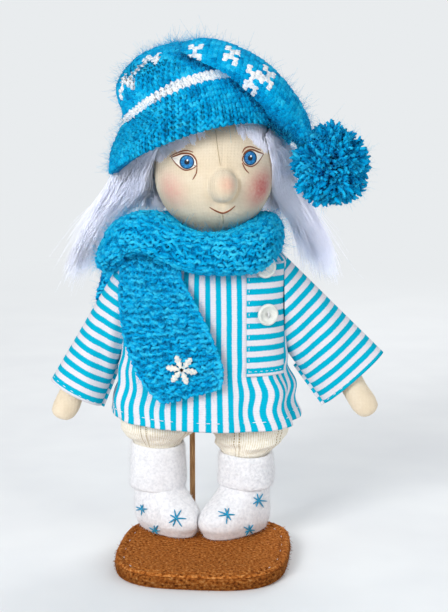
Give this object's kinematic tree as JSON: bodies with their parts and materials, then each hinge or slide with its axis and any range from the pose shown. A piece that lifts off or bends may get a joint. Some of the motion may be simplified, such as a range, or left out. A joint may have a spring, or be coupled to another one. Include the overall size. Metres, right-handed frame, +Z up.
{
  "type": "cloth doll",
  "caption": "Standing cloth doll in a striped shirt, knitted hat with pompom, scarf, trousers and fleece boots, held by a dowel on a felt-covered stand.",
  "frame": {"origin": "centre of the underside of the stand", "axes": "+Z up from the stand to the hat, -Y the way the doll faces, +X to the doll's own left"},
  "size_m": [0.1823, 0.1267, 0.2695],
  "materials": {
    "brown_felt": "matte needled felt",
    "wood": "plain sanded wood",
    "linen": "fine linen weave",
    "rib_knit": "cream ribbed knit",
    "fleece": "white fleece",
    "striped_cotton": "woven cotton with turquoise and white stripes",
    "pearl": "glossy pearl white",
    "blue_knit": "brushed blue wool knit",
    "white_felt": "white felt",
    "white_hair": "long white pile"
  },
  "bodies": {
    "standing_doll": {"base_bottom_felt": "brown_felt", "base_board": "wood", "base_side_felt": "brown_felt", "base_top_felt": "brown_felt", "support_dowel": "wood", "torso": "linen", "left_leg": "linen", "right_leg": "linen", "left_boot": "fleece", "right_boot": "fleece", "left_boot_sole": "fleece", "right_boot_sole": "fleece", "left_boot_cuff": "fleece", "right_boot_cuff": "fleece", "trousers": "rib_knit", "shirt_body": "striped_cotton", "placket": "striped_cotton", "upper_button": "pearl", "lower_button": "pearl", "scarf_wrap": "blue_knit"},
    "head": {"head": "linen", "wig_cap": "white_hair", "left_hair": "white_hair", "right_hair": "white_hair", "back_hair": "white_hair", "hat_cap": "blue_knit"},
    "left_arm": {"left_arm": "linen", "left_sleeve": "striped_cotton"},
    "right_arm": {"right_arm": "linen", "right_sleeve": "striped_cotton"},
    "hat_tail": {"hat_tail": "blue_knit"},
    "pompom": {"pompom": "blue_knit"},
    "scarf_front": {"scarf_front_end": "blue_knit", "snowflake": "white_felt"},
    "scarf_back": {"scarf_back_end": "blue_knit"}
  },
  "joints": [
    {"name": "head_turn", "type": "hinge", "parent": "standing_doll", "child": "head", "pos_m": [0.0053, 0.0295, 0.1718], "axis": [0, 0, 1], "range_deg": [-15, 15], "stiffness_Nm_per_rad": 0.02},
    {"name": "left_shoulder", "type": "hinge", "parent": "standing_doll", "child": "left_arm", "pos_m": [0.0443, 0.0295, 0.137], "axis": [-1, 0, 0], "range_deg": [-10, 60]},
    {"name": "right_shoulder", "type": "hinge", "parent": "standing_doll", "child": "right_arm", "pos_m": [-0.0443, 0.0295, 0.137], "axis": [-1, 0, 0], "range_deg": [-10, 60]},
    {"name": "hat_tail_lift", "type": "hinge", "parent": "head", "child": "hat_tail", "pos_m": [-0.0122, 0.0295, 0.2684], "axis": [0, -1, 0], "range_deg": [0, 40]},
    {"name": "pompom_swing", "type": "hinge", "parent": "hat_tail", "child": "pompom", "pos_m": [0.051, 0.0165, 0.2218], "axis": [0, -1, 0], "range_deg": [0, 30]},
    {"name": "scarf_front_lift", "type": "hinge", "parent": "standing_doll", "child": "scarf_front", "pos_m": [-0.0275, 0.005, 0.15], "axis": [-1, 0, 0], "range_deg": [0, 35]},
    {"name": "scarf_back_lift", "type": "hinge", "parent": "standing_doll", "child": "scarf_back", "pos_m": [-0.037, 0.0535, 0.15], "axis": [1, 0, 0], "range_deg": [0, 35]}
  ]
}
